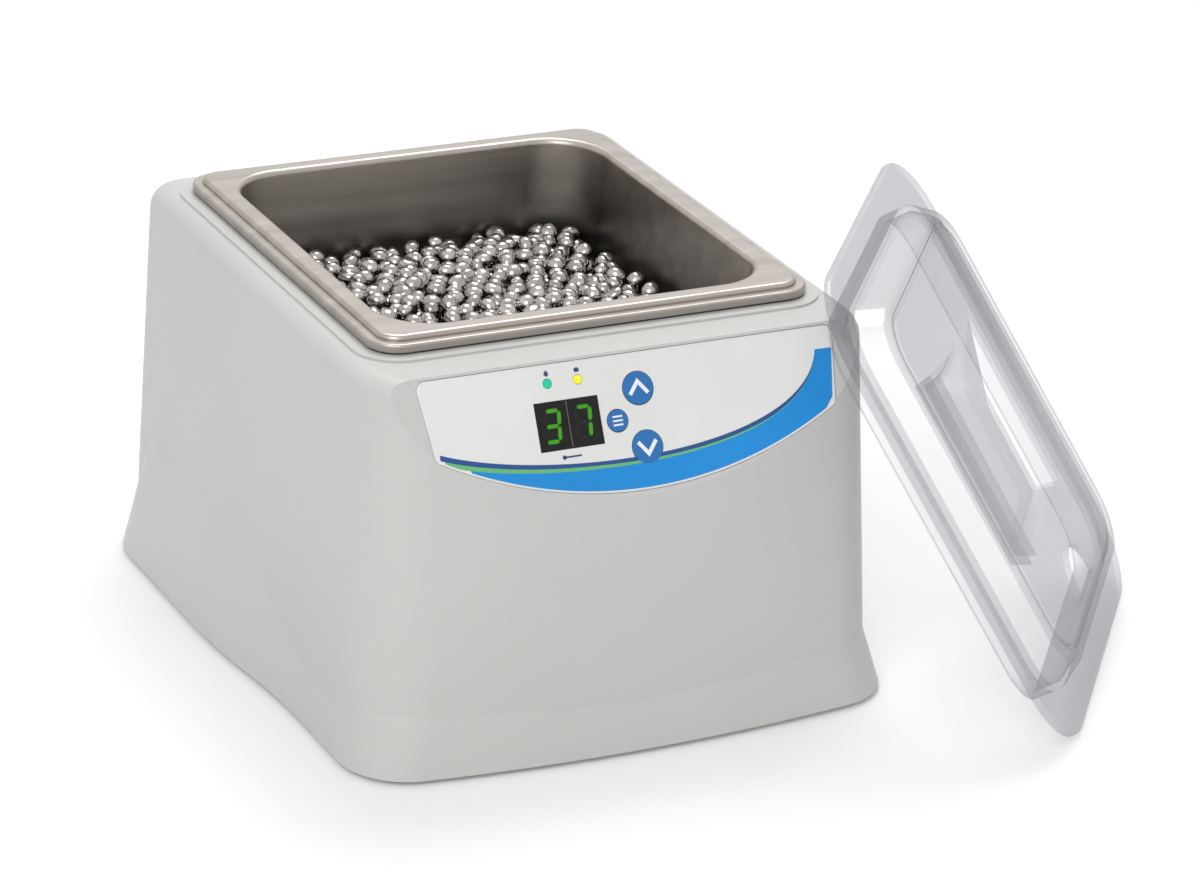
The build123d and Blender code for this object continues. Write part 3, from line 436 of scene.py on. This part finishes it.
dress(glowing("digit_lit", (0.13, 1.0, 0.0), 1.0), "display_digits_lit")
dress(glowing("led_green", (0.0, 0.50, 0.28), 0.25), "indicator_water")
dress(glowing("led_yellow", (0.75, 0.75, 0.03), 0.25), "indicator_beads")

# %% [markdown]
# The display's window is dark glass. The lid is clear polycarbonate, whose edges and steep walls
# look grey against white. Thin clear walls hardly bend the light, so a tinted Transparent shader
# does without refraction, and Layer Weight darkens what is seen aslant and makes it shine.

# %% Window, fuse and lid
most_shine = 0.3        # share that a surface seen edge on mirrors


def see_through(name, clear, edge, gloss, blend=0.35):
    """Thin clear stuff: its tint goes from clear, seen straight on, to edge, seen aslant."""
    material, tree, output = new_material(name)
    angle = tree.nodes.new("ShaderNodeLayerWeight")
    angle.inputs["Blend"].default_value = blend
    tint = tree.nodes.new("ShaderNodeMix")
    tint.data_type = "RGBA"
    tint.inputs[6].default_value = (*clear, 1)
    tint.inputs[7].default_value = (*edge, 1)
    tree.links.new(angle.outputs["Facing"], tint.inputs[0])
    through = tree.nodes.new("ShaderNodeBsdfTransparent")
    tree.links.new(tint.outputs[2], through.inputs["Color"])
    shine = tree.nodes.new("ShaderNodeBsdfGlossy")
    shine.inputs["Color"].default_value = (1, 1, 1, 1)
    shine.inputs["Roughness"].default_value = gloss
    share = tree.nodes.new("ShaderNodeMath")
    share.operation = "MULTIPLY"
    share.inputs[1].default_value = most_shine
    tree.links.new(angle.outputs["Facing"], share.inputs[0])
    both = tree.nodes.new("ShaderNodeMixShader")
    tree.links.new(share.outputs[0], both.inputs[0])
    tree.links.new(through.outputs[0], both.inputs[1])
    tree.links.new(shine.outputs[0], both.inputs[2])
    tree.links.new(both.outputs[0], output.inputs["Surface"])
    return material


dress(see_through("window_tint", (0.55, 0.55, 0.55), (0.2, 0.2, 0.2), 0.05), "display_window")
dress(see_through("fuse_glass", (0.9, 0.92, 0.9), (0.5, 0.55, 0.5), 0.02), "fuse")
dress(see_through("lid_clear", (0.975, 0.975, 0.98), (0.42, 0.41, 0.45), 0.06, blend=0.2), "lid")

# %% [markdown]
# ## Beads
#
# The bath holds hundreds of shiny metal pebbles. They lie in two layers on a close grid that is
# shaken about. Random numbers come from one seeded source, so every run lays the same beads.

# %% Places of the beads
rng = np.random.default_rng(7)
bead_r = 0.0040
pitch = 2 * bead_r * 0.97       # a little under touching, since the beads aren't round
row_pitch = pitch * np.sqrt(3) / 2
shake = 0.25                    # of the pitch, each way
corner_r = 0.018
heap_height = 0.004             # the beads in the middle lie this much higher than at the walls

bed_low, bed_high = [np.array(corner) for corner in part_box("bead_bed")]
bed_top = bed_high[2]
centre = (bed_low + bed_high) / 2
half = (bed_high - bed_low) / 2 - bead_r


def close_grid(shift):
    """Points of a hexagonal grid, moved by shift pitches and shaken, inside a rounded rectangle."""
    rows = int(2 * half[1] / row_pitch) + 2
    columns = int(2 * half[0] / pitch) + 2
    row, column = np.meshgrid(np.arange(rows), np.arange(columns), indexing="ij")
    x = (column + 0.5 * (row % 2) + shift) * pitch - half[0]
    y = (row + shift) * row_pitch - half[1]
    points = np.stack([x.ravel(), y.ravel()], axis=1)
    points += rng.uniform(-shake, shake, points.shape) * pitch
    over = np.maximum(np.abs(points) - (half[:2] - corner_r), 0)
    return points[np.hypot(over[:, 0], over[:, 1]) < corner_r]


layers = []
for depth, shift in ((1.0, 0.0), (2.5, 0.5)):
    plan = close_grid(shift)
    out = np.max(np.abs(plan) / half[:2], axis=1)
    heap = heap_height * (1 - out**2) - heap_height
    z = bed_top - depth * bead_r + heap + rng.uniform(-0.4, 0.2, len(plan)) * bead_r
    layers.append(np.column_stack([plan + centre[:2], z]))
places = np.concatenate(layers)
print("beads:", len(places))

# %% [markdown]
# Each bead is a small ball of 80 faces, pressed out of round, dented on one side and turned at
# random. All of them are one mesh, which keeps the model light.

# %% Ball and turns
def ball_template():
    """Unit ball of 42 points and 80 faces."""
    shape = bpy.data.meshes.new("ball")
    build = bmesh.new()
    bmesh.ops.create_icosphere(build, subdivisions=2, radius=1.0)
    build.to_mesh(shape)
    build.free()
    points = np.empty(3 * len(shape.vertices))
    faces = np.empty(3 * len(shape.polygons), dtype=np.int32)
    shape.vertices.foreach_get("co", points)
    shape.loops.foreach_get("vertex_index", faces)
    bpy.data.meshes.remove(shape)
    return points.reshape(-1, 3), faces.reshape(-1, 3)


def random_turns(count):
    """Rotation matrices from unit quaternions, evenly spread over all turns."""
    w, x, y, z = rng.normal(size=(4, count))
    size = np.sqrt(w * w + x * x + y * y + z * z)
    w, x, y, z = w / size, x / size, y / size, z / size
    rows = [
        [1 - 2 * (y * y + z * z), 2 * (x * y - z * w), 2 * (x * z + y * w)],
        [2 * (x * y + z * w), 1 - 2 * (x * x + z * z), 2 * (y * z - x * w)],
        [2 * (x * z - y * w), 2 * (y * z + x * w), 1 - 2 * (x * x + y * y)],
    ]
    return np.moveaxis(np.array(rows), 2, 0)


ball, ball_faces = ball_template()
print("ball:", len(ball), "points,", len(ball_faces), "faces")

# %% Beads
count = len(places)
least_squash = (0.85, 0.85, 0.72)
most_squash = (1.18, 1.05, 0.98)
dent_from = 0.55        # height on the unit ball at which the dent begins
dent_depth = 0.9

squash = bead_r * rng.uniform(least_squash, most_squash, (count, 3))
dent_at = rng.normal(size=(count, 3))
dent_at /= np.linalg.norm(dent_at, axis=1, keepdims=True)
toward = np.clip(ball @ dent_at.T - dent_from, 0, 1).T
shapes = ball[None] * (1 - dent_depth * toward[:, :, None]) * squash[:, None, :]
points = np.einsum("nij,nkj->nki", random_turns(count), shapes) + places[:, None, :]
faces = ball_faces[None] + np.arange(count)[:, None, None] * len(ball)
beads = add_mesh("beads", points.reshape(-1, 3), faces.reshape(-1, 3))
bead_grey = (0.40, 0.385, 0.37)
beads.data.materials.append(
    finish("bead_metal", bead_grey, 0.14, metallic=1.0, cloud=(180.0, 0.35), grain=(500.0, 0.15))
)
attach(beads, "casing")
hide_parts("bead_bed")
print("bead mesh faces:", len(beads.data.polygons))

# %% [markdown]
# A dark sheet under the two layers closes the view between the beads: painted shade for the
# shadow down there. Its outline is a superellipse, close to the pan's rounded rectangle.

# %% Painted shade under the beads
bed_depth = 3.6 * bead_r
bed_points = 64
bed_power = 0.22        # power of the sine and cosine; a small one makes the outline boxy


def fan_faces(count):
    """Triangles from each edge of a closed outline of count points to the point after them."""
    first = np.arange(count)
    return np.stack([first, (first + 1) % count, np.full(count, count)], axis=1)


def boxy(wave):
    """The wave with its size raised to the bed's power and its sign kept."""
    return np.sign(wave) * np.abs(wave) ** bed_power


angle = np.linspace(0, 2 * np.pi, bed_points, endpoint=False)
reach = half[:2] + bead_r
plan = centre[:2] + reach * np.column_stack([boxy(np.cos(angle)), boxy(np.sin(angle))])
outline = np.vstack([plan, centre[:2]])
# Painted shade: a dark sheet that stands for the shadow under and between the beads.
shade_sheet = add_mesh(
    "bead_shade_sheet",
    np.column_stack([outline, np.full(bed_points + 1, bed_top - bed_depth)]),
    fan_faces(bed_points),
)
shade_sheet.data.materials.append(finish("bead_shade", (0.035, 0.03, 0.028), 0.6, metallic=1.0, cloud=(300.0, 0.4)))
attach(shade_sheet, "casing")
print("bed at height", round(bed_top - bed_depth, 4))

# %% [markdown]
# ## Print on the panel
#
# The label carries a swoosh of three colours and small icons. Every printed shape is a thin sheet
# that lies a few hundredths of a millimetre over the film. Places on the panel are given in
# millimetres as x and as s, the distance down the panel from its upper edge.

# %% Places on the panel
panel_tilt = np.radians(27.5)   # the panel leans back from the upright by this
panel_top = np.array([0.0, -0.0898, 0.1352])
panel_up = np.array([0.0, np.sin(panel_tilt), np.cos(panel_tilt)])
panel_out = np.array([0.0, -np.cos(panel_tilt), np.sin(panel_tilt)])
film_depth = 0.0002             # film and window lie this far inside the panel's plane
on_film = 0.00004 - film_depth
on_window = 0.00003 - film_depth
on_key = 0.00006


def printed(name, points, faces, material, body="casing", lift=on_film):
    """Flat sheet of print with its points (x, s), lifted off the panel's plane, that rides on a body."""
    flat = np.asarray(points, float) / 1000
    in_space = panel_top + flat[:, :1] * [1.0, 0, 0] - flat[:, 1:] * panel_up + lift * panel_out
    sheet = add_mesh(name, in_space, faces, smooth=False)
    sheet.data.materials.append(material)
    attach(sheet, body)


def band(name, upper, lower, material, body="casing", lift=on_film):
    """Sheet between two rows of as many points, wound so that it faces the reader."""
    count = len(upper)
    first = np.arange(count - 1)
    faces = np.stack([first, count + first, count + first + 1, first + 1], axis=1)
    printed(name, np.vstack([upper, lower]), faces, material, body, lift)


print("panel's upper edge at", panel_top)

# %% [markdown]
# The swoosh hangs under one cubic curve, the navy stripe's upper edge. The navy and green stripes
# taper along it, and azure fills the rest down to the label's own edge, which is an arc.

# %% Swoosh
navy = finish("print_navy", (0.01, 0.07, 0.25), 0.4, grain=ink_grain)
green = finish("print_green", (0.13, 0.45, 0.17), 0.4, grain=ink_grain)
azure = finish("print_azure", (0.0, 0.25, 0.66), 0.38, cloud=(12.0, 0.05), grain=ink_grain)
arc_middle_s = -104.6           # middle of the label's lower edge, at x = 0
arc_r = 150.6
azure_start = 0.085             # of the curve, where azure begins
arc_end = 0.86                  # of the curve, where the label's right side begins
swoosh_corners = ((-73.2, 25.0), (-35.0, 40.5), (62.0, 42.0), (69.0, 8.5))


def bezier(corners, t):
    """Points of the cubic curve with these four corners."""
    a, b, c, d = [np.array(corner, float) for corner in corners]
    t = t[:, None]
    return a * (1 - t) ** 3 + 3 * b * t * (1 - t) ** 2 + 3 * c * t**2 * (1 - t) + d * t**3


def arc_s(x):
    """Distance s of the label's lower edge at x."""
    return arc_middle_s + np.sqrt(arc_r**2 - x**2)


t = np.linspace(0, 1, 81)
swoosh = bezier(swoosh_corners, t)
navy_width = np.interp(t, (0, 0.35, 0.75, 1), (1.9, 1.3, 1.5, 0.4))
both_widths = np.interp(t, (0, 0.35, 0.7, 1), (3.6, 2.4, 2.0, 0.4))
under_navy = np.column_stack([swoosh[:, 0], swoosh[:, 1] + navy_width])
under_green = np.column_stack([swoosh[:, 0], np.minimum(swoosh[:, 1] + both_widths, arc_s(swoosh[:, 0]))])

x = np.interp(t, (azure_start, arc_end), (-62.0, 71.5))
edge = np.column_stack([x, arc_s(x)])
side = t > arc_end
edge[side, 0] = np.interp(t[side], (arc_end, 1), (72.6, 75.2))
edge[side, 1] = np.interp(t[side], (arc_end, 1), (25.6, 9.0))

band("swoosh_navy", swoosh[1:], under_navy[1:], navy)
band("swoosh_green", under_navy[2:], under_green[2:], green)
filled = t > azure_start
band("swoosh_azure", under_green[filled], edge[filled], azure)
print("swoosh from", swoosh[0], "to", swoosh[-1])

# %% [markdown]
# Small icons stand by the lamps and the display: a drop of water and a bead over the lamps, and a
# thermometer under the display. They are either blobs, filled round their middle, or strokes.

# %% Helpers for icons
ink = finish("print_ink", (0.02, 0.06, 0.16), 0.45, grain=ink_grain)
white = finish("print_white", (0.85, 0.87, 0.9), 0.4, grain=ink_grain)


def blob(name, outline, material):
    """Sheet of triangles from a closed outline to its middle."""
    points = np.vstack([outline, outline.mean(axis=0)])
    printed(name, points, fan_faces(len(outline)), material)


def stroke(name, path, width, material, body="casing", lift=on_film):
    """Sheet along a path, of this width, whose corners are mitred."""
    path = np.asarray(path, float)
    along = np.gradient(path, axis=0)
    along /= np.linalg.norm(along, axis=1, keepdims=True)
    across = np.column_stack([along[:, 1], -along[:, 0]])
    steps = np.diff(path, axis=0)
    steps /= np.linalg.norm(steps, axis=1, keepdims=True)
    bend = np.ones(len(path))
    bend[1:-1] = 1 / np.sqrt((1 + np.sum(steps[:-1] * steps[1:], axis=1)) / 2)
    half_width = (width / 2 * bend)[:, None]
    band(name, path + across * half_width, path - across * half_width, material, body, lift)


print("inks:", ink.name, white.name)

# %% Icons on the film
turn = np.linspace(0, 2 * np.pi, 24, endpoint=False)
ring = np.column_stack([-np.sin(turn), -np.cos(turn)])
upward = np.clip(np.cos(turn), 0, 1)
drop = ring * np.column_stack([1 - 0.75 * upward**2, 1 + 0.5 * upward])
drop_r = 0.85
bulb_r = 0.75
icon_line = 0.6
drop_at = (-30.0, 4.3)
bead_at = (-19.0, 4.3)
bulb_at = (-28.2, 32.3)
stem_end = (-22.0, 32.3)

blob("icon_water", drop * drop_r + drop_at, ink)
blob("icon_bead", ring * (1.0, 0.8) + bead_at, ink)
blob("icon_thermometer_bulb", ring * bulb_r + bulb_at, ink)
stroke("icon_thermometer_stem", [bulb_at, stem_end], icon_line, ink)
print("drop is", round(float(np.ptp(drop[:, 1]) * drop_r), 2), "mm high")

# %% [markdown]
# The upper and lower keys have white chevrons, and the middle one has three bars. Each sign rides
# on its own key, so that it goes down with it.

# %% Signs on the keys
key_up_at = (2.0, 13.2)
key_mode_at = (-7.2, 22.9)
key_down_at = (2.0, 32.8)
chevron = np.array([(-3.3, 1.9), (0.0, -2.3), (3.3, 1.9)])
chevron_line = 1.35
bar_half = 1.8
bar_gap = 1.4

stroke("chevron_up", chevron + key_up_at, chevron_line, white, "key_up", on_key)
stroke("chevron_down", chevron[::-1] * (1, -1) + key_down_at, chevron_line, white, "key_down", on_key)
bar = np.array([(-bar_half, 0.0), (bar_half, 0.0)]) + key_mode_at
for i in (-1, 0, 1):
    stroke(f"mode_bar_{i + 2}", bar + (0, bar_gap * i), icon_line, white, "key_mode", on_key)
print("chevrons", chevron_line, "mm thick, bars", icon_line)

# %% [markdown]
# The display is two modules side by side, with a thin grey seam between them. The seam is one more
# stroke, a thin sheet just over the window.

# %% Seam of the display
seam_x = -24.6
seam_top = 14.0
seam_foot = 29.2
seam_line = 0.35

seam = finish("display_line", (0.10, 0.10, 0.10), 0.4)
stroke("display_line", [(seam_x, seam_top), (seam_x, seam_foot)], seam_line, seam, lift=on_window)
